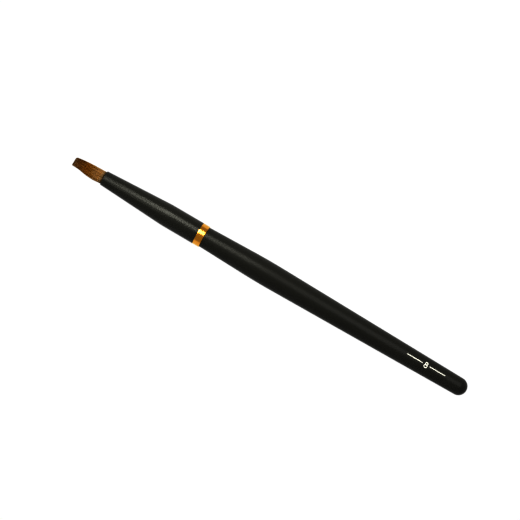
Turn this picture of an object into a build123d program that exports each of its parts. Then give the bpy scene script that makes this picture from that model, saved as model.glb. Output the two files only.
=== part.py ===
"""Acrylic nail brush: flat-cut hair tuft in a black metal ferrule, gold ring, black lacquered wooden handle.

The brush lies along X on a table (+Z up), with its tuft towards -X. The origin is on the table, below the
middle of the brush. Stations along the brush are measured in millimetres from the tip of the tuft.
"""

import os
from math import asin, atan2, cos, hypot, radians, sin, tan

from build123d import *

# Lengths, from the tip of the tuft to the rear end
BRUSH_LENGTH = 170.0
TUFT_OUT = 12.9  # hair in front of the ferrule
CONE_LENGTH = 27.5  # tapered front of the ferrule
FERRULE_LENGTH = 41.1
RING_WIDTH = 2.8

# Diameters
MOUTH_DIA = 5.76  # ferrule, at the hair
FERRULE_DIA = 8.72  # ferrule, along its cylinder, and the ring
NECK_DIA = 8.06  # handle, just behind the ring
BELLY_DIA = 9.42  # handle, at its thickest place
DOME_DIA = 6.74  # handle, its domed end
TENON_DIA = 7.7  # handle, inside the ring and the ferrule

# The ferrule's metal and its edges
FERRULE_WALL = 0.32
CONE_BLEND = 60.0  # radius that blends the cone into the cylinder
MOUTH_ROUND = 0.12
RING_ROUND = 0.1

# The handle's outline: two straight tapers blended at the belly, and a domed end
BELLY_BACK = 25.2  # from the ring to where the two tapers would meet
BELLY_BLEND = 280.0  # radius of the blend
BELLY_LOSS = 0.134  # the tapers would meet on a diameter that is this much larger
TENON_LENGTH = 14.0
TENON_NOSE = 0.6

# The hair
TUFT_DIA = 4.94  # at the mouth, and along the root
TUFT_BELLY = 5.0  # width where the hair bows out
TUFT_BELLY_THICK = 4.2
TUFT_BELLY_OUT = 4.0  # from the mouth to the belly
TUFT_BOW = 0.12  # the belly bows towards -Y
TUFT_MIDDLE = (4.3, 2.6)  # width and thickness halfway down the wedge
TUFT_TIP = (3.55, 1.0)  # width and thickness of the cut end
TUFT_CUT_ANGLE = 5.0  # the cut end isn't quite square
ROOT_LENGTH = 12.9
WAIST_DIA = 4.4  # where the thread pulls the root in
WAIST_FRONT = 8.8  # from the mouth to the start of the waist
WAIST_LENGTH = 2.2
WAIST_RAMP = 0.6

# Thread, resin and adhesive
THREAD_DIA = 0.3
THREAD_PITCH = 0.34
THREAD_TURNS = 6
HAIR_GAP = 0.03  # room between the root and what holds it
PLUG_FRONT = 3.0  # from the mouth to the front of the resin
PLUG_BEHIND = 3.0  # resin behind the butt of the hair
MENISCUS = 1.0  # how far the resin's free surface dips in its middle
GLUE_LENGTH = 9.0

# Printed mark on the handle: a figure 8 between two lines
MARK_FROM_REAR = 17.8  # from the rear end to the middle of the mark
MARK_TURN = 13.0  # degrees from the top of the handle towards +Y
MARK_FILM = 0.03
EIGHT_UPPER = 0.62  # outer radius of the figure's upper loop
EIGHT_LOWER = 0.74
EIGHT_STROKE = 0.3
LINE_LENGTH = 6.6
LINE_WIDTH = 0.3
LINE_GAP = 1.5  # from the middle of the mark to each line

# Stations
MOUTH = TUFT_OUT
CONE_END = MOUTH + CONE_LENGTH
FERRULE_END = MOUTH + FERRULE_LENGTH
NECK = FERRULE_END + RING_WIDTH
BELLY = NECK + BELLY_BACK
DOME_CENTRE = BRUSH_LENGTH - DOME_DIA / 2
BUTT = MOUTH + ROOT_LENGTH
PLUG_START = MOUTH + PLUG_FRONT
PLUG_END = BUTT + PLUG_BEHIND
TENON_END = NECK - TENON_LENGTH

AXIS_HEIGHT = BELLY_DIA / 2
TIP_POINT = (-BRUSH_LENGTH / 2, 0, AXIS_HEIGHT)
LATHE = Plane(origin=TIP_POINT, x_dir=(1, 0, 0), z_dir=(0, -1, 0))  # x: station, y: radius
CENTRELINE = Axis(TIP_POINT, (1, 0, 0))


def cross_section(station, bow=0.0):
    """A plane square to the brush: its x runs along +Y and its y along +Z."""
    origin = (TIP_POINT[0] + station, -bow, AXIS_HEIGHT)
    return Plane(origin=origin, x_dir=(0, 1, 0), z_dir=(1, 0, 0))


def bore_radius(station):
    """The radius of the ferrule's bore inside its cone."""
    cone_angle = atan2((FERRULE_DIA - MOUTH_DIA) / 2, CONE_LENGTH)
    outer = MOUTH_DIA / 2 + (station - MOUTH) * tan(cone_angle)
    return outer - FERRULE_WALL / cos(cone_angle)


os.makedirs("parts", exist_ok=True)

# ---------------------------------------------------------------- ferrule
with BuildPart() as ferrule:
    with BuildSketch(LATHE):
        with BuildLine():
            outside = FilletPolyline(
                (MOUTH, MOUTH_DIA / 2),
                (CONE_END, FERRULE_DIA / 2),
                (FERRULE_END, FERRULE_DIA / 2),
                radius=CONE_BLEND,
            )
            offset(outside, FERRULE_WALL, side=Side.RIGHT)
        make_face()
    revolve(axis=CENTRELINE)
    fillet(ferrule.edges().group_by(Axis.X)[0], MOUTH_ROUND)
ferrule.part.label = "ferrule"
export_step(ferrule.part, "parts/ferrule.step")

# ---------------------------------------------------------------- ring
with BuildPart() as gold_ring:
    with BuildSketch(LATHE):
        with BuildLine():
            Polyline(
                (FERRULE_END, TENON_DIA / 2),
                (NECK, TENON_DIA / 2),
                (NECK, FERRULE_DIA / 2),
                (FERRULE_END, FERRULE_DIA / 2),
                close=True,
            )
        make_face()
    revolve(axis=CENTRELINE)
    rims = gold_ring.edges().filter_by(GeomType.CIRCLE).sort_by(SortBy.RADIUS)[-2:]
    fillet(rims, RING_ROUND)
gold_ring.part.label = "gold_ring"
export_step(gold_ring.part, "parts/gold_ring.step")

# ---------------------------------------------------------------- handle
taper_corner = (BELLY, (BELLY_DIA + BELLY_LOSS) / 2)
corner_to_dome = (DOME_CENTRE - BELLY, -taper_corner[1])
rear_lean = atan2(corner_to_dome[1], corner_to_dome[0]) + asin(DOME_DIA / 2 / hypot(*corner_to_dome))
dome_start = (DOME_CENTRE - DOME_DIA / 2 * sin(rear_lean), DOME_DIA / 2 * cos(rear_lean))

with BuildPart() as handle:
    with BuildSketch(LATHE):
        with BuildLine():
            tapers = FilletPolyline((NECK, NECK_DIA / 2), taper_corner, dome_start, radius=BELLY_BLEND)
            TangentArc(dome_start, (BRUSH_LENGTH, 0), tangent=tapers % 1)
            Polyline(
                (BRUSH_LENGTH, 0),
                (TENON_END, 0),
                (TENON_END, TENON_DIA / 2 - TENON_NOSE),
                (TENON_END + TENON_NOSE, TENON_DIA / 2),
                (NECK, TENON_DIA / 2),
                (NECK, NECK_DIA / 2),
            )
        make_face()
    revolve(axis=CENTRELINE)
handle.part.label = "handle"
export_step(handle.part, "parts/handle.step")

# ---------------------------------------------------------------- printed mark
mark_station = BRUSH_LENGTH - MARK_FROM_REAR
mark_reach = LINE_GAP + LINE_LENGTH
mark_out = (0, sin(radians(MARK_TURN)), cos(radians(MARK_TURN)))  # square to the handle, under the mark


def rear_radius(station):
    """The radius of the handle on its straight rear taper."""
    return taper_corner[1] + (station - BELLY) * tan(rear_lean)


with BuildPart() as size_mark:
    with BuildSketch(LATHE):
        with BuildLine():
            Polyline(
                (mark_station - mark_reach, rear_radius(mark_station - mark_reach)),
                (mark_station + mark_reach, rear_radius(mark_station + mark_reach)),
                (mark_station + mark_reach, rear_radius(mark_station + mark_reach) + MARK_FILM),
                (mark_station - mark_reach, rear_radius(mark_station - mark_reach) + MARK_FILM),
                close=True,
            )
        make_face()
    revolve(axis=CENTRELINE)
    mark_origin = (TIP_POINT[0] + mark_station, 0, AXIS_HEIGHT)
    with BuildSketch(Plane(origin=mark_origin, x_dir=(1, 0, 0), z_dir=mark_out)):
        with Locations((0, EIGHT_UPPER - EIGHT_STROKE / 2)):
            Circle(EIGHT_UPPER)
        with Locations((0, EIGHT_STROKE / 2 - EIGHT_LOWER)):
            Circle(EIGHT_LOWER)
        with Locations((0, EIGHT_UPPER - EIGHT_STROKE / 2)):
            Circle(EIGHT_UPPER - EIGHT_STROKE, mode=Mode.SUBTRACT)
        with Locations((0, EIGHT_STROKE / 2 - EIGHT_LOWER)):
            Circle(EIGHT_LOWER - EIGHT_STROKE, mode=Mode.SUBTRACT)
        with Locations((-mark_reach + LINE_LENGTH / 2, 0), (mark_reach - LINE_LENGTH / 2, 0)):
            Rectangle(LINE_LENGTH, LINE_WIDTH)
    extrude(amount=BELLY_DIA, mode=Mode.INTERSECT)
size_mark.part.label = "size_mark"
export_step(size_mark.part, "parts/size_mark.step")

# ---------------------------------------------------------------- adhesive on the tenon
with BuildPart() as tenon_glue:
    with BuildSketch(LATHE):
        with BuildLine():
            Polyline(
                (FERRULE_END - GLUE_LENGTH, TENON_DIA / 2),
                (FERRULE_END, TENON_DIA / 2),
                (FERRULE_END, FERRULE_DIA / 2 - FERRULE_WALL),
                (FERRULE_END - GLUE_LENGTH, FERRULE_DIA / 2 - FERRULE_WALL),
                close=True,
            )
        make_face()
    revolve(axis=CENTRELINE)
tenon_glue.part.label = "tenon_glue"
export_step(tenon_glue.part, "parts/tenon_glue.step")

# ---------------------------------------------------------------- hair
waist_start = MOUTH + WAIST_FRONT
waist_end = waist_start + WAIST_LENGTH

with BuildPart() as hair_tuft:
    with BuildSketch(cross_section(0)):
        Ellipse(TUFT_TIP[0] / 2, TUFT_TIP[1] / 2)
    with BuildSketch(cross_section((MOUTH - TUFT_BELLY_OUT) / 2)):
        Ellipse(TUFT_MIDDLE[0] / 2, TUFT_MIDDLE[1] / 2)
    with BuildSketch(cross_section(MOUTH - TUFT_BELLY_OUT, TUFT_BOW)):
        Ellipse(TUFT_BELLY / 2, TUFT_BELLY_THICK / 2)
    with BuildSketch(cross_section(MOUTH)):
        Circle(TUFT_DIA / 2)
    loft()
    with BuildSketch(LATHE):
        with BuildLine():
            Polyline(
                (MOUTH, 0),
                (MOUTH, TUFT_DIA / 2),
                (waist_start - WAIST_RAMP, TUFT_DIA / 2),
                (waist_start, WAIST_DIA / 2),
                (waist_end, WAIST_DIA / 2),
                (waist_end + WAIST_RAMP, TUFT_DIA / 2),
                (BUTT, TUFT_DIA / 2),
                (BUTT, 0),
                close=True,
            )
        make_face()
    revolve(axis=CENTRELINE)
    cut_normal = Vector(1, -tan(radians(TUFT_CUT_ANGLE)), 0)
    cut_corner = Vector(TIP_POINT[0], -TUFT_TIP[0] / 2, AXIS_HEIGHT)
    split(bisect_by=Plane(origin=cut_corner, z_dir=cut_normal), keep=Keep.TOP)
hair_tuft.part.label = "hair_tuft"
export_step(hair_tuft.part, "parts/hair_tuft.step")

# ---------------------------------------------------------------- thread round the root
thread_radius = WAIST_DIA / 2 + HAIR_GAP + THREAD_DIA / 2
thread_start = waist_start + (WAIST_LENGTH - THREAD_TURNS * THREAD_PITCH) / 2

with BuildPart() as binding_thread:
    with BuildLine() as winding:
        Helix(
            pitch=THREAD_PITCH,
            height=THREAD_TURNS * THREAD_PITCH,
            radius=thread_radius,
            center=(TIP_POINT[0] + thread_start, 0, AXIS_HEIGHT),
            direction=(1, 0, 0),
        )
    with BuildSketch(Plane(origin=winding.line @ 0, z_dir=winding.line % 0)):
        Circle(THREAD_DIA / 2)
    sweep(is_frenet=True)
binding_thread.part.label = "binding_thread"
export_step(binding_thread.part, "parts/binding_thread.step")

# ---------------------------------------------------------------- resin round the root
groove_radius = thread_radius + THREAD_DIA / 2 + HAIR_GAP
root_radius = TUFT_DIA / 2 + HAIR_GAP

with BuildPart() as epoxy_plug:
    with BuildSketch(LATHE):
        with BuildLine():
            Polyline(
                (PLUG_START, root_radius),
                (waist_start - WAIST_RAMP, root_radius),
                (waist_start - WAIST_RAMP, groove_radius),
                (waist_end + WAIST_RAMP, groove_radius),
                (waist_end + WAIST_RAMP, root_radius),
                (BUTT + HAIR_GAP, root_radius),
                (BUTT + HAIR_GAP, 0),
                (PLUG_END - MENISCUS, 0),
            )
            TangentArc((PLUG_END - MENISCUS, 0), (PLUG_END, bore_radius(PLUG_END)), tangent=(0, 1))
            Polyline(
                (PLUG_END, bore_radius(PLUG_END)),
                (PLUG_START, bore_radius(PLUG_START)),
                (PLUG_START, root_radius),
            )
        make_face()
    revolve(axis=CENTRELINE)
epoxy_plug.part.label = "epoxy_plug"
export_step(epoxy_plug.part, "parts/epoxy_plug.step")
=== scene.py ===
"""The looks of the acrylic nail brush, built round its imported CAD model.

The brush lies along X with its hair towards -X, and every length here is in metres. A station is a
distance along the brush from the tip of the hair, so x = TIP_X + station.
"""

import math

import bpy
import numpy as np
from mathutils import Matrix, Vector


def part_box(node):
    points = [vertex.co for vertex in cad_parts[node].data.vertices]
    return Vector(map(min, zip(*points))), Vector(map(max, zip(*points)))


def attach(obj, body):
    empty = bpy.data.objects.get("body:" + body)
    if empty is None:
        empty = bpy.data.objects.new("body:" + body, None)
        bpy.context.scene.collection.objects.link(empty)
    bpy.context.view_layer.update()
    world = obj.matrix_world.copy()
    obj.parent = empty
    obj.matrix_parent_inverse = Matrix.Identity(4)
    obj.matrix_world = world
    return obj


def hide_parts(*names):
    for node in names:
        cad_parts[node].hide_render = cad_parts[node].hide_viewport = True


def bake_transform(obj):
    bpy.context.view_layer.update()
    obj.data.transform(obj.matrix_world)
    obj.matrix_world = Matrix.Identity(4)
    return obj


MM = 0.001
SEED = 20817

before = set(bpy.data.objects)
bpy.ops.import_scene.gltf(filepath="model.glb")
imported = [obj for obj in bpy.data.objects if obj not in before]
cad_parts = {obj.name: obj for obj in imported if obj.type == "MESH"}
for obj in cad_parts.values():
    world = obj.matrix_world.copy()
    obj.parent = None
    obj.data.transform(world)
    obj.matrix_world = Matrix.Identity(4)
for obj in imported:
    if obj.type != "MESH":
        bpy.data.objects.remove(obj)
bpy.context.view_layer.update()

# ---------------------------------------------------------------- places, from the frame
hair_low, hair_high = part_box("hair_tuft")
ferrule_low, ferrule_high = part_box("ferrule")
ring_low, ring_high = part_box("gold_ring")
handle_low, handle_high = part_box("handle")

AXIS_Z = (handle_low.z + handle_high.z) / 2
TIP_X = hair_low.x
MOUTH = ferrule_low.x - TIP_X
BUTT = hair_high.x - TIP_X
FERRULE_END = ferrule_high.x - TIP_X
NECK = ring_high.x - TIP_X
REAR_END = handle_high.x - TIP_X
TENON_END = handle_low.x - TIP_X
FERRULE_RADIUS = (ferrule_high.z - ferrule_low.z) / 2
BELLY_RADIUS = (handle_high.z - handle_low.z) / 2

# ---------------------------------------------------------------- sizes that the boxes don't give
MOUTH_RADIUS = 2.88 * MM
FERRULE_WALL = 0.32 * MM
LIP_ROUND = 0.42 * FERRULE_WALL  # radius of the rolled edge at the mouth
CONE_LENGTH = 27.5 * MM
CONE_BLEND = 60 * MM
RING_EDGE = 0.07 * MM  # rounding of the ring's edges
NECK_RADIUS = 4.03 * MM
NECK_EDGE = 0.1 * MM
TENON_RADIUS = 3.85 * MM
TENON_NOSE = 0.6 * MM
BELLY_BACK = 25.2 * MM  # from the neck to the widest place
BELLY_EXTRA = 0.067 * MM  # how far outside the belly the handle's two tapers would meet
BELLY_BLEND = 280 * MM
DOME_RADIUS = 3.37 * MM

TURNED_SIDES = 144  # facets round a turned piece
EDGE_STEPS = 9  # points on the rounding of an edge
ON_AXIS = 1e-9  # a smaller radius than this counts as a point on the axis


# ---------------------------------------------------------------- mesh helpers
def add_piece(name, vertices, faces, materials, smooth_angle=32):
    """A mesh object with smooth shading that keeps edges sharper than smooth_angle, in degrees."""
    mesh = bpy.data.meshes.new(name)
    mesh.from_pydata(vertices, [], faces)
    for material in materials:
        mesh.materials.append(material)
    mesh.shade_smooth()
    mesh.set_sharp_from_angle(angle=math.radians(smooth_angle))
    piece = bpy.data.objects.new(name, mesh)
    bpy.context.scene.collection.objects.link(piece)
    return piece


def arc(centre, radius, start, end, steps):
    """Points on an arc, as (station, radius) pairs, from angle start to angle end in degrees."""
    angles = np.radians(np.linspace(start, end, steps))
    return [(centre[0] + radius * math.cos(a), centre[1] + radius * math.sin(a)) for a in angles]


def blended_corner(before, corner, after, radius, steps=24):
    """The arc that rounds a corner between two straight lines of an outline."""
    a, b, c = (np.array(p, float) for p in (before, corner, after))
    incoming = (b - a) / np.linalg.norm(b - a)
    outgoing = (c - b) / np.linalg.norm(c - b)
    turn = math.acos(float(np.clip(incoming @ outgoing, -1, 1)))
    reach = radius * math.tan(turn / 2)
    start = b - incoming * reach
    side = (outgoing - incoming * math.cos(turn)) / math.sin(turn)
    points = []
    for angle in np.linspace(0, turn, steps):
        place = start + radius * (incoming * math.sin(angle) + side * (1 - math.cos(angle)))
        points.append(tuple(place))
    return points


def straight(start, end, steps):
    """Points along a straight stretch of an outline, without its last one."""
    return [tuple(p) for p in np.linspace(start, end, steps, endpoint=False)]


def turned(name, outline, materials, closed, sides=TURNED_SIDES):
    """Turns an outline of (station, radius) points about the brush's axis.

    A closed outline makes a ring. An open one starts and ends on the axis.
    """
    ring_count = len(outline)
    vertices, first = [], []
    for station, radius in outline:
        first.append(len(vertices))
        if radius < ON_AXIS:
            vertices.append((TIP_X + station, 0, AXIS_Z))
            continue
        for k in range(sides):
            angle = 2 * math.pi * k / sides
            y, z = radius * math.cos(angle), radius * math.sin(angle)
            vertices.append((TIP_X + station, y, AXIS_Z + z))
    faces = []
    for i in range(ring_count if closed else ring_count - 1):
        j = (i + 1) % ring_count
        for k in range(sides):
            n = (k + 1) % sides
            if outline[i][1] < ON_AXIS:
                faces.append((first[i], first[j] + n, first[j] + k))
            elif outline[j][1] < ON_AXIS:
                faces.append((first[i] + k, first[i] + n, first[j]))
            else:
                faces.append((first[i] + k, first[i] + n, first[j] + n, first[j] + k))
    return add_piece(name, vertices, faces, materials)


# ---------------------------------------------------------------- material helpers
def new_material(name, colour, roughness, **values):
    """A Principled material, with its node tree and shader node for more nodes to be added to."""
    material = bpy.data.materials.new(name)
    material.use_nodes = True
    nodes = material.node_tree.nodes
    shader = nodes["Principled BSDF"]
    shader.inputs["Base Color"].default_value = (*colour, 1)
    shader.inputs["Roughness"].default_value = roughness
    for socket, value in values.items():
        shader.inputs[socket.replace("_", " ")].default_value = value
    return material, nodes, material.node_tree.links, shader


def noise(nodes, links, scale, detail, stretch=(1, 1, 1)):
    """A noise texture in object coordinates. A stretch below 1 draws it out along that axis."""
    place = nodes.new("ShaderNodeTexCoord")
    mapping = nodes.new("ShaderNodeMapping")
    mapping.inputs["Scale"].default_value = stretch
    texture = nodes.new("ShaderNodeTexNoise")
    texture.inputs["Scale"].default_value = scale
    texture.inputs["Detail"].default_value = detail
    links.new(place.outputs["Object"], mapping.inputs["Vector"])
    links.new(mapping.outputs["Vector"], texture.inputs["Vector"])
    return texture


def vary_roughness(nodes, links, shader, texture, low, high):
    """Lets a noise texture, whose values are mostly from 0.3 to 0.7, vary the roughness."""
    node = nodes.new("ShaderNodeMapRange")
    node.inputs["From Min"].default_value = 0.3
    node.inputs["From Max"].default_value = 0.7
    node.inputs["To Min"].default_value = low
    node.inputs["To Max"].default_value = high
    links.new(texture.outputs[0], node.inputs["Value"])
    links.new(node.outputs[0], shader.inputs["Roughness"])


def bump(nodes, links, shader, texture, height):
    """A bump of a real height, from a texture's grey value."""
    node = nodes.new("ShaderNodeBump")
    node.inputs["Distance"].default_value = height
    links.new(texture.outputs[0], node.inputs["Height"])
    links.new(node.outputs["Normal"], shader.inputs["Normal"])


# ---------------------------------------------------------------- materials
PAINT_SHINE = 0.245  # specular levels: both blacks reflect less than a clear varnish
LACQUER_SHINE = 0.20


def black_paint():
    """Black paint on metal, with little shine, a slight orange peel and uneven gloss."""
    material, nodes, links, shader = new_material(
        "black_paint", (0.0450, 0.0450, 0.0405), 0.27, Specular_IOR_Level=PAINT_SHINE
    )
    cloud = noise(nodes, links, scale=900, detail=4)
    vary_roughness(nodes, links, shader, cloud, low=0.257, high=0.283)
    peel = noise(nodes, links, scale=5200, detail=2)
    bump(nodes, links, shader, peel, height=0.0012 * MM)
    return material


def black_lacquer():
    """Satin black lacquer on turned wood: the grain shows faintly, drawn out along the handle."""
    material, nodes, links, shader = new_material(
        "black_lacquer", (0.0450, 0.0446, 0.0405), 0.32, Specular_IOR_Level=LACQUER_SHINE
    )
    cloud = noise(nodes, links, scale=700, detail=4, stretch=(0.25, 1, 1))
    vary_roughness(nodes, links, shader, cloud, low=0.307, high=0.333)
    grain = noise(nodes, links, scale=3600, detail=3, stretch=(0.06, 1, 1))
    bump(nodes, links, shader, grain, height=0.0025 * MM)
    return material


def gold():
    """Polished orange gold under a clear varnish, with fine lines round the ring."""
    varnish = {"Coat_Weight": 1.0, "Coat_Roughness": 0.18, "Coat_IOR": 1.65}
    edge_tint = (1.0, 1.0, 0.55, 1.0)
    material, nodes, links, shader = new_material(
        "polished_gold", (0.79, 0.39, 0.034), 0.14, Metallic=1.0, Specular_Tint=edge_tint, **varnish
    )
    lines = noise(nodes, links, scale=9000, detail=2, stretch=(1, 0.03, 0.03))
    vary_roughness(nodes, links, shader, lines, low=0.12, high=0.16)
    return material


def print_ink():
    """Off-white screen print, thin enough to be slightly uneven."""
    material, nodes, links, shader = new_material("print_ink", (0.90, 0.89, 0.82), 0.5)
    cloud = noise(nodes, links, scale=5000, detail=3)
    shade = nodes.new("ShaderNodeMix")
    shade.data_type = "RGBA"
    shade.inputs["A"].default_value = (0.84, 0.83, 0.75, 1)
    shade.inputs["B"].default_value = (0.95, 0.94, 0.87, 1)
    links.new(cloud.outputs[0], shade.inputs["Factor"])
    links.new(shade.outputs["Result"], shader.inputs["Base Color"])
    return material


def amber_resin():
    """Cured epoxy, amber and a little cloudy."""
    material, nodes, links, shader = new_material("amber_resin", (0.36, 0.18, 0.05), 0.2)
    cloud = noise(nodes, links, scale=900, detail=3)
    vary_roughness(nodes, links, shader, cloud, low=0.12, high=0.35)
    return material


def waxed_thread():
    """Waxed cotton thread with its twist as a bump."""
    material, nodes, links, shader = new_material("waxed_thread", (0.62, 0.55, 0.42), 0.6)
    twist = noise(nodes, links, scale=9000, detail=2, stretch=(1, 0.4, 0.4))
    bump(nodes, links, shader, twist, height=0.02 * MM)
    return material


def adhesive():
    """Cured adhesive film, cream and uneven."""
    material, nodes, links, shader = new_material("adhesive_film", (0.66, 0.6, 0.45), 0.45)
    lumps = noise(nodes, links, scale=1500, detail=3)
    bump(nodes, links, shader, lumps, height=0.02 * MM)
    return material


# ---------------------------------------------------------------- ferrule
def make_ferrule():
    """The painted tube, with its thin wall and a rounded lip at the mouth."""
    slope = (FERRULE_RADIUS - MOUTH_RADIUS) / CONE_LENGTH
    end = (FERRULE_END, FERRULE_RADIUS)
    blend = blended_corner((MOUTH, MOUTH_RADIUS), (MOUTH + CONE_LENGTH, FERRULE_RADIUS), end, CONE_BLEND)
    outer_lip = arc((MOUTH + LIP_ROUND, MOUTH_RADIUS - LIP_ROUND), LIP_ROUND, 180, 90, EDGE_STEPS)
    cone_start = (MOUTH + 2 * LIP_ROUND, MOUTH_RADIUS + slope * LIP_ROUND)
    outside = straight(cone_start, blend[0], 24) + blend + straight(blend[-1], end, 12)[1:] + [end]
    inside = [(station, radius - FERRULE_WALL) for station, radius in reversed(outside)]
    lip_centre = (MOUTH + LIP_ROUND, MOUTH_RADIUS - FERRULE_WALL + LIP_ROUND)
    inner_lip = arc(lip_centre, LIP_ROUND, 270, 180, EDGE_STEPS)
    outline = outer_lip + outside + inside + inner_lip
    return turned("ferrule_tube", outline, [black_paint()], closed=True)


# ---------------------------------------------------------------- ring
def make_ring():
    """The polished ring, flush with the ferrule, with softly rounded edges."""
    front, back = FERRULE_END + RING_EDGE, NECK - RING_EDGE
    outline = arc((front, FERRULE_RADIUS - RING_EDGE), RING_EDGE, 180, 90, EDGE_STEPS)
    outline += straight((front, FERRULE_RADIUS), (back, FERRULE_RADIUS), 8)[1:]
    outline += arc((back, FERRULE_RADIUS - RING_EDGE), RING_EDGE, 90, 0, EDGE_STEPS)
    outline += [(NECK, TENON_RADIUS), (FERRULE_END, TENON_RADIUS)]
    return turned("ring_band", outline, [gold()], closed=True)


# ---------------------------------------------------------------- handle
def handle_profile():
    """The visible outline of the handle, from the neck to the middle of its domed end."""
    corner = np.array((NECK + BELLY_BACK, BELLY_RADIUS + BELLY_EXTRA))
    centre = np.array((REAR_END - DOME_RADIUS, 0))
    to_centre = centre - corner
    reach = float(np.linalg.norm(to_centre))
    lean = math.atan2(to_centre[1], to_centre[0]) + math.asin(DOME_RADIUS / reach)
    dome_start = centre + DOME_RADIUS * np.array((-math.sin(lean), math.cos(lean)))
    blend = blended_corner((NECK, NECK_RADIUS), corner, dome_start, BELLY_BLEND)
    outline = arc((NECK + NECK_EDGE, NECK_RADIUS - NECK_EDGE), NECK_EDGE, 180, 90, 6)
    outline += straight((NECK + NECK_EDGE, NECK_RADIUS), blend[0], 24)[1:]
    outline += blend
    outline += straight(blend[-1], dome_start, 60)[1:]
    outline += arc(centre, DOME_RADIUS, 90 + math.degrees(lean), 0, 28)[:-1]
    return outline + [(REAR_END, 0.0)]


def make_handle():
    """The turned handle with its tenon."""
    tenon = [
        (TENON_END, 0.0),
        (TENON_END, TENON_RADIUS - TENON_NOSE),
        (TENON_END + TENON_NOSE, TENON_RADIUS),
        (NECK, TENON_RADIUS),
    ]
    return turned("handle_turning", tenon + handle_profile(), [black_lacquer()], closed=False)


# ---------------------------------------------------------------- hair
# The tuft's outline as (station, reach) pairs in mm: to +Y, to -Y, and half its thickness
TUFT_UPPER = ((0, 1.58), (1.5, 1.77), (3.0, 1.97), (6.0, 2.23), (9.5, 2.38), (12.9, 2.44))
TUFT_LOWER = ((0, 1.86), (3.0, 2.00), (6.4, 2.52), (9.2, 2.73), (12.9, 2.44))
TUFT_THICK = ((0, 0.46), (4.4, 1.2), (8.9, 2.12), (12.9, 2.43))
TIP_SQUARENESS = 5.0  # power of the section's outline at the tip, where 2 is an ellipse
ROOT_RADIUS = 2.43 * MM
WAIST_RADIUS = 2.17 * MM
WAIST_MIDDLE = 22.8 * MM
WAIST_SPREAD = 1.3 * MM

CUT_SLANT = 0.08 * MM  # how much further back the +Y end of the cut is
CORNER_START = 0.6  # where the rounding of the cut's +Y corner starts, as a share of the half width
CORNER_ROUND = 0.5 * MM
TIP_SCATTER = 0.03 * MM
SHORT_SHARE = 0.12  # of the hairs, which end up to SHORT_BY behind the cut
SHORT_BY = 2.5 * MM

# The hairs' places are in a disc of radius 1 that stands for the bundle's section
HAIR_COUNT = 2600
LAST_HAIR = 0.985  # the outermost hair's distance from the middle of the disc
OUTER_LIMIT = 0.995  # no hair goes further out than this, wherever it sways
GOLDEN_ANGLE = math.pi * (3 - math.sqrt(5))
PLACE_JITTER = 0.012  # radians
LOCKS = 70
LOCK_TURN = 0.7  # radians from the first hair to the first lock
LOCK_PULL = 0.18  # how far the tips move towards the middle of their lock
PULL_POWER = 1.5  # the pull grows towards the tip with this power
SWAY = 0.02
SWAY_WAVES = (3, 8)  # radians of wave along a hair

HAIR_RADIUS = 0.058 * MM  # at the ferrule's mouth
HAIR_TIP_RADIUS = 0.032 * MM
HAIR_SPREAD = (0.85, 1.15)  # thin and thick hairs
HAIR_SMOOTHING = 100  # degrees
LAYER_ENDS = (0, 0.28, 0.52, 0.76, 1.0)  # share of the hairs inside each layer's outer edge
LAYER_SIDES = (3, 3, 4, 4)  # facets round a hair of each layer
FREE_RINGS = 15
ROOT_STEPS = (8.2 * MM, 9.2 * MM, 10.6 * MM)  # from the mouth to the rings round the waist

HAIR_COLOURS = (  # station in mm, and the hair's colour there
    (0.2, (0.194, 0.132, 0.078)),
    (1.2, (0.163, 0.096, 0.045)),
    (2.6, (0.164, 0.083, 0.028)),
    (4.2, (0.201, 0.108, 0.036)),
    (5.8, (0.253, 0.122, 0.030)),
    (7.5, (0.259, 0.138, 0.037)),
    (9.1, (0.307, 0.187, 0.085)),
    (11.0, (0.345, 0.205, 0.088)),
    (12.2, (0.276, 0.194, 0.110)),
)
MOUTH_PAINTED_SHADE_COLOUR = (0.100, 0.067, 0.034)  # painted shade where the ferrule's mouth shades the hair, in the same colour along the root
# length of the painted shade in front of the mouth
MOUTH_SHADE = 0.4 * MM
BANDS = 12  # steps of colour in front of the mouth's painted shade
BAND_WANDER = 0.4 * MM  # how unevenly a band ends from lock to lock
WANDER_FADE = 2 * MM  # the bands end evenly at the tip and the mouth, and wander from this far on
HAIR_TONES = (0.5, 0.93, 1.0, 1.07)  # the tone of the rim's painted shade, then a darker, a middle and a lighter tone, which follow random shade and the painted side light
TONE_STEPS = (-3.2, -0.5, 0.5)  # the shade at which each tone gives way to the next
LOCK_CONTRAST = 0.8  # how much the locks, and then the single hairs, differ in shade
HAIR_CONTRAST = 0.35
SIDE_PAINTED_LIGHT = 1.2  # painted light: the -Y side of the bundle is painted lighter, making up for the key lamp shining from +Y
RIM_PAINTED_SHADE = 6.0  # but its outermost hairs are painted dark: painted shade along the bundle's -Y edge
PAINTED_RIM_START = 0.80  # where the painted shade starts, as a share of the half width
HAIR_SHINE = 0.17
HAIR_ROUGHNESS = 0.45


def smooth_curve(points, at):
    """A smooth curve through a few (x, y) points, read at the given places."""
    x, y = np.array(points, float).T
    slope = np.gradient(y, x)
    i = np.clip(np.searchsorted(x, at) - 1, 0, len(x) - 2)
    width = x[i + 1] - x[i]
    t = np.clip((at - x[i]) / width, 0, 1)
    a = (1 + 2 * t) * (1 - t) ** 2 * y[i] + t * (1 - t) ** 2 * width * slope[i]
    b = t * t * (3 - 2 * t) * y[i + 1] + t * t * (t - 1) * width * slope[i + 1]
    return a + b


def squared(u, v, power):
    """How much further a superellipse reaches than the unit circle, in the direction of (u, v)."""
    size = np.hypot(u, v)
    return (np.abs(u / size) ** power + np.abs(v / size) ** power) ** (-1 / power)


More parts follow.
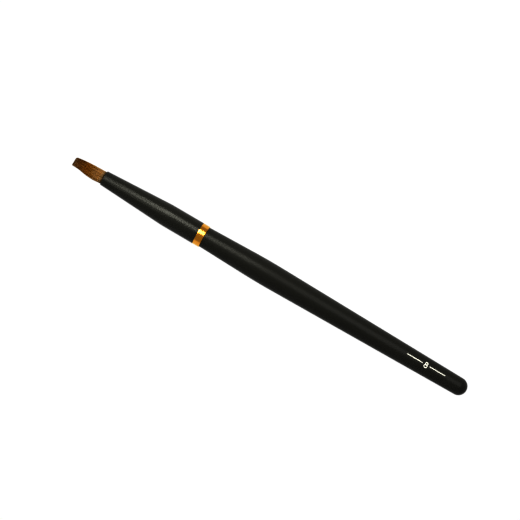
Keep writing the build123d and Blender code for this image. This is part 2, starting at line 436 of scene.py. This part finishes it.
def bundle_point(station, u, v):
    """Where place (u, v) of the bundle's section is at a station, as y and z from the brush's axis."""
    outside = np.clip(station, 0, MOUTH)
    upper = smooth_curve(TUFT_UPPER, outside / MM) * MM
    lower = smooth_curve(TUFT_LOWER, outside / MM) * MM
    thick = smooth_curve(TUFT_THICK, outside / MM) * MM
    waist = np.exp(-(((station - WAIST_MIDDLE) / WAIST_SPREAD) ** 4))
    pull = 1 - waist * (1 - WAIST_RADIUS / ROOT_RADIUS)
    edge = squared(u, v, 2 + (TIP_SQUARENESS - 2) * (1 - outside / MOUTH))
    y = (upper - lower) / 2 + (upper + lower) / 2 * edge * u
    return y * pull, thick * edge * v * pull


def hair_places(chosen, rng):
    """Where the chosen hairs are in the bundle's section, as places (u, v) in a unit disc."""
    rho = np.sqrt((chosen + 0.5) / HAIR_COUNT) * LAST_HAIR
    theta = chosen * GOLDEN_ANGLE + rng.normal(0, PLACE_JITTER, len(chosen))
    return rho * np.cos(theta), rho * np.sin(theta)


def lock_places():
    """The middles of the locks, as places in the same disc."""
    number = np.arange(LOCKS)
    rho, theta = np.sqrt((number + 0.5) / LOCKS), number * GOLDEN_ANGLE + LOCK_TURN
    return rho * np.cos(theta), rho * np.sin(theta)


def cut_stations(u, v, rng):
    """Where each hair ends: the cut leans a little, its +Y corner is round and some hairs are short."""
    across = u * squared(u, v, TIP_SQUARENESS)
    corner = np.clip((across - CORNER_START) / (1 - CORNER_START), 0, 1)
    cut = CUT_SLANT * (across + 1) / 2 + CORNER_ROUND * corner**2
    short = (rng.random(len(u)) < SHORT_SHARE) * rng.uniform(0, SHORT_BY, len(u))
    return cut + np.abs(rng.normal(0, TIP_SCATTER, len(u))) + short


def hair_lines(u, v, lock, rng):
    """Station, y and z of the rings along each hair, which joins a lock and sways towards its tip."""
    tips = cut_stations(u, v, rng)[:, None]
    free_part = tips + (MOUTH - MOUTH_SHADE - tips) * np.linspace(0, 1, FREE_RINGS)
    root_part = np.array((MOUTH, *(MOUTH + step for step in ROOT_STEPS), BUTT))
    station = np.concatenate((free_part, np.broadcast_to(root_part, (len(u), len(root_part)))), axis=1)
    free = np.clip(1 - station / MOUTH, 0, 1)  # 0 at the mouth, 1 at the tip
    lock_u, lock_v = lock_places()
    pull = LOCK_PULL * free**PULL_POWER
    phase = rng.uniform(0, 2 * math.pi, (2, len(u), 1))
    wave = rng.uniform(*SWAY_WAVES, (2, len(u), 1))
    sway_u, sway_v = SWAY * free * np.sin(wave * free + phase)
    u_line = u[:, None] + (lock_u[lock] - u)[:, None] * pull + sway_u
    v_line = v[:, None] + (lock_v[lock] - v)[:, None] * pull + sway_v
    too_far = np.maximum(np.hypot(u_line, v_line) / OUTER_LIMIT, 1)
    y, z = bundle_point(station, u_line / too_far, v_line / too_far)
    return station, y, z


def hair_slots(station, u, lock, rng):
    """The material number of every stretch of every hair: its colour band, and its tone in the band."""
    lock_rng = np.random.default_rng(SEED + 1)
    lock_tone, lock_wander = lock_rng.normal(0, 1, (2, LOCKS))
    middle = (station[:, 1:] + station[:, :-1]) / 2
    shade_start = MOUTH - MOUTH_SHADE
    from_ends = np.clip(np.minimum(middle, shade_start - middle) / WANDER_FADE, 0, 1)
    uneven = middle + BAND_WANDER * lock_wander[lock][:, None] * from_ends
    band = np.clip((uneven / shade_start * BANDS).astype(int), 0, BANDS - 1)
    # the last band is the painted shade at the mouth, and the root behind it
    band[middle > shade_start] = BANDS
    # painted shade: the outermost hairs on the -Y side are made darker
    painted_rim = np.clip((-u - PAINTED_RIM_START) / (1 - PAINTED_RIM_START), 0, 1)
    shade = LOCK_CONTRAST * lock_tone[lock] + rng.normal(0, HAIR_CONTRAST, len(u))
    # painted light: hairs towards the -Y side get lighter tones, and its outermost hairs the painted
    # shade
    shade = shade - SIDE_PAINTED_LIGHT * u - RIM_PAINTED_SHADE * painted_rim
    return band * len(HAIR_TONES) + np.digitize(shade, TONE_STEPS)[:, None]


def hair_tubes(station, y, z, sides, rng):
    """Vertices and faces of thin tubes along the hairs: all the sides first, then the end caps."""
    count, rings = station.shape
    free = np.clip(1 - station / MOUTH, 0, 1)
    radius = HAIR_RADIUS + (HAIR_TIP_RADIUS - HAIR_RADIUS) * free
    radius = radius * rng.uniform(*HAIR_SPREAD, count)[:, None]
    turn = rng.uniform(0, 2 * math.pi, count)[:, None] + np.arange(sides) * 2 * math.pi / sides
    ring_y = y[:, :, None] + radius[:, :, None] * np.cos(turn)[:, None, :]
    ring_z = z[:, :, None] + radius[:, :, None] * np.sin(turn)[:, None, :]
    ring_x = np.broadcast_to(station[:, :, None], ring_y.shape)
    vertices = np.stack((TIP_X + ring_x, ring_y, AXIS_Z + ring_z), axis=-1).reshape(-1, 3)

    hair_start = np.arange(count) * rings * sides
    ring_start = np.arange(rings - 1) * sides
    start = hair_start[:, None, None] + ring_start[None, :, None]
    k = np.arange(sides)
    n = (k + 1) % sides
    corners = (start + k, start + sides + k, start + sides + n, start + n)
    quads = np.stack(corners, axis=-1).reshape(-1, 4)
    tip_caps = start[:, 0] + k
    end_caps = (tip_caps + (rings - 1) * sides)[:, ::-1]
    return vertices, quads.tolist() + tip_caps.tolist() + end_caps.tolist()


def hair_materials():
    """One plain material for each band along the hair and each tone of hair."""
    places = [place for place, _ in HAIR_COLOURS]
    colours = np.array([colour for _, colour in HAIR_COLOURS])
    made = []
    for band in range(BANDS + 1):
        middle = (band + 0.5) / BANDS * (MOUTH - MOUTH_SHADE) / MM
        colour = [float(np.interp(middle, places, channel)) for channel in colours.T]
        for step, tone in enumerate(HAIR_TONES):
            # the last band takes the painted shade colour of the mouth
            shade = tuple(tone * c for c in (MOUTH_PAINTED_SHADE_COLOUR if band == BANDS else colour))
            name = f"hair_{band + 1}_{step + 1}"
            made.append(new_material(name, shade, HAIR_ROUGHNESS, Specular_IOR_Level=HAIR_SHINE)[0])
    return made


def make_hair():
    """The hairs, in layers from the heart of the bundle to its surface."""
    rng = np.random.default_rng(SEED)
    materials = hair_materials()
    lock_u, lock_v = lock_places()
    pieces = []
    for layer, (low, high, sides) in enumerate(zip(LAYER_ENDS, LAYER_ENDS[1:], LAYER_SIDES)):
        u, v = hair_places(np.arange(int(HAIR_COUNT * low), int(HAIR_COUNT * high)), rng)
        lock = np.argmin((u[:, None] - lock_u) ** 2 + (v[:, None] - lock_v) ** 2, axis=1)
        station, y, z = hair_lines(u, v, lock, rng)
        vertices, faces = hair_tubes(station, y, z, sides, rng)
        slots = hair_slots(station, u, lock, rng)
        piece = add_piece(f"hairs_layer_{layer + 1}", vertices, faces, materials, HAIR_SMOOTHING)
        numbers = np.concatenate((np.repeat(slots.reshape(-1), sides), slots[:, 0], slots[:, -1]))
        piece.data.polygons.foreach_set("material_index", numbers.astype(np.int32))
        pieces.append(piece)
    return pieces


# ---------------------------------------------------------------- stage
TABLE_HALF = 6.0
TABLE_COLOUR = (0.02, 0.02, 0.02)
TABLE_GLOW = 1.0
WARM = (1.0, 1.0, 0.91)
LAMP_TARGET = Vector((-0.04, 0, 0))
CONTRAST_KNEE = 4.0  # the tone curve squares values far below this, where 1 is white
CURVE_STEPS = 14
ROOM_GLOW = 0.57  # what the upper half of the room looks like in a reflection
FILL_GLOW = 0.32  # what the room adds to matt surfaces
SIDE_GLOW = 3.65  # the same, from the pale side
FAR_GLOW = 0.92  # the same, from the side across the brush
PALE_HEIGHTS = (0.42, 0.0)  # Z of a direction where the pale side starts, and where it is full
PALE_SIDES = (0.1, -0.4)  # the same for its Y
FAR_SIDES = (0.0, 0.6)  # Y of a direction where the far side starts, and where it is full
CAMERA_FOOT = (0.0367, 0.00311)
CAMERA_DISTANCE = 0.844
VIEW_WIDTH = 0.1945
AIM = Vector((-0.0059, 0.00311, 0))
BRUSH_SLOPE = math.radians(30.38)  # how far below the horizontal the brush runs in the picture


def make_table():
    """A wide white table that glows a little, so that it stays white in the picture."""
    mesh = bpy.data.meshes.new("table")
    corners = [(x * TABLE_HALF, y * TABLE_HALF, 0) for x, y in ((-1, -1), (1, -1), (1, 1), (-1, 1))]
    mesh.from_pydata(corners, [], [(0, 1, 2, 3)])
    table = bpy.data.objects.new("table", mesh)
    bpy.context.scene.collection.objects.link(table)
    material, _, _, shader = new_material("table_white", TABLE_COLOUR, 0.9)
    shader.inputs["Emission Color"].default_value = (1, 1, 1, 1)
    shader.inputs["Emission Strength"].default_value = TABLE_GLOW
    shader.inputs["Specular IOR Level"].default_value = 0.0
    mesh.materials.append(material)


def make_lamp(name, place, size, radiance, colour=(1, 1, 1)):
    """A softbox that looks at the hair end of the brush. Its first side runs along X."""
    light = bpy.data.lights.new(name, "AREA")
    light.shape = "RECTANGLE"
    light.size, light.size_y = size
    light.energy = radiance * math.pi * size[0] * size[1]
    light.color = colour
    lamp = bpy.data.objects.new(name, light)
    lamp.location = place
    down = (LAMP_TARGET - place).normalized()
    side = Vector((1, 0, 0))
    side = (side - down * side.dot(down)).normalized()
    lamp.rotation_mode = "QUATERNION"
    lamp.rotation_quaternion = Matrix((side, (-down).cross(side), -down)).transposed().to_quaternion()
    bpy.context.scene.collection.objects.link(lamp)


def soft_step(nodes, links, source, start, end, low=0.0, high=1.0):
    """A value that goes smoothly from low to high while its source goes from start to end."""
    node = nodes.new("ShaderNodeMapRange")
    node.interpolation_type = "SMOOTHSTEP"
    for socket, value in (("From Min", start), ("From Max", end), ("To Min", low), ("To Max", high)):
        node.inputs[socket].default_value = value
    links.new(source, node.inputs["Value"])
    return node.outputs[0]


def mixed(nodes, links, a, b, factor):
    """A mix of a and b, each a number or the output of a node."""
    node = nodes.new("ShaderNodeMix")
    for socket, value in (("A", a), ("B", b), ("Factor", factor)):
        if isinstance(value, float):
            node.inputs[socket].default_value = value
        else:
            links.new(value, node.inputs[socket])
    return node.outputs["Result"]


def make_world():
    """White behind the object, an even fill for matt surfaces, and a dim room in the reflections.

    The room is paler low down on its -Y side.
    """
    world = bpy.data.worlds.new("room")
    bpy.context.scene.world = world
    world.use_nodes = True
    nodes, links = world.node_tree.nodes, world.node_tree.links
    path = nodes.new("ShaderNodeLightPath")
    place = nodes.new("ShaderNodeTexCoord")
    split = nodes.new("ShaderNodeSeparateXYZ")
    links.new(place.outputs["Generated"], split.inputs["Vector"])
    pale = nodes.new("ShaderNodeMath")
    pale.operation = "MULTIPLY"
    links.new(soft_step(nodes, links, split.outputs["Z"], *PALE_HEIGHTS), pale.inputs[0])
    links.new(soft_step(nodes, links, split.outputs["Y"], *PALE_SIDES), pale.inputs[1])
    reflected = mixed(nodes, links, ROOM_GLOW, 1.0, pale.outputs[0])
    fill = soft_step(nodes, links, split.outputs["Y"], *FAR_SIDES, FILL_GLOW, FAR_GLOW)
    matt = mixed(nodes, links, fill, SIDE_GLOW, pale.outputs[0])
    room = mixed(nodes, links, reflected, matt, path.outputs["Is Diffuse Ray"])
    seen = mixed(nodes, links, room, 1.0, path.outputs["Is Camera Ray"])
    background = nodes["Background"]
    links.new(seen, background.inputs["Strength"])
    background.inputs["Color"].default_value = (1, 1, 1, 1)


def make_camera():
    """A long lens above the table, a little behind the middle of the brush."""
    data = bpy.data.cameras.new("camera")
    camera = bpy.data.objects.new("camera", data)
    bpy.context.scene.collection.objects.link(camera)
    target = AIM + Vector((0, 0, AXIS_Z))
    place = Vector((*CAMERA_FOOT, AXIS_Z + CAMERA_DISTANCE))
    back = (place - target).normalized()
    right = Vector((math.cos(BRUSH_SLOPE), math.sin(BRUSH_SLOPE), 0))
    right = (right - back * right.dot(back)).normalized()
    up = back.cross(right)
    data.sensor_width = 36
    data.lens = data.sensor_width * (place - target).length / VIEW_WIDTH
    data.clip_start, data.clip_end = 0.05, 50
    camera.matrix_world = Matrix.Translation(place) @ Matrix((right, up, back)).transposed().to_4x4()
    bpy.context.scene.camera = camera


def set_tone():
    """A contrasty photographic tone: the darker a value, the further it sinks, and white stays white."""
    view = bpy.context.scene.view_settings
    view.view_transform = "Standard"
    view.use_curve_mapping = True
    mapping = view.curve_mapping
    mapping.extend = "EXTRAPOLATED"
    points = mapping.curves[3].points
    for step in range(1, CURVE_STEPS):
        value = (step / CURVE_STEPS) ** 2  # closer together towards black
        points.new(value, value**2 / (value + CONTRAST_KNEE) * (1 + CONTRAST_KNEE))
    mapping.update()


make_table()
make_lamp("key_softbox", Vector((-0.092, 0.152, 0.305)), (0.055, 0.184), 22.0, WARM)
make_lamp("strip_softbox", Vector((-0.108, 0.035, 0.325)), (0.05, 0.05), 16.0, WARM)
make_lamp("fill_softbox", Vector((-0.153, -0.012, 0.300)), (0.05, 0.24), 6.5, WARM)
make_lamp("rear_softbox", Vector((0.090, 0.120, 0.300)), (0.20, 0.26), 2.5)
make_world()
make_camera()
set_tone()

# ---------------------------------------------------------------- put together
ferrule = make_ferrule()
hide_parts("ferrule")
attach(ferrule, "brush")

ring = make_ring()
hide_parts("gold_ring")
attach(ring, "brush")

handle = make_handle()
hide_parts("handle")
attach(handle, "brush")

for hairs in make_hair():
    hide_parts("hair_tuft")
    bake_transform(hairs)

for node, finish in (
    ("size_mark", print_ink),
    ("epoxy_plug", amber_resin),
    ("binding_thread", waxed_thread),
    ("tenon_glue", adhesive),
):
    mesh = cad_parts[node].data
    mesh.materials.clear()
    mesh.materials.append(finish())
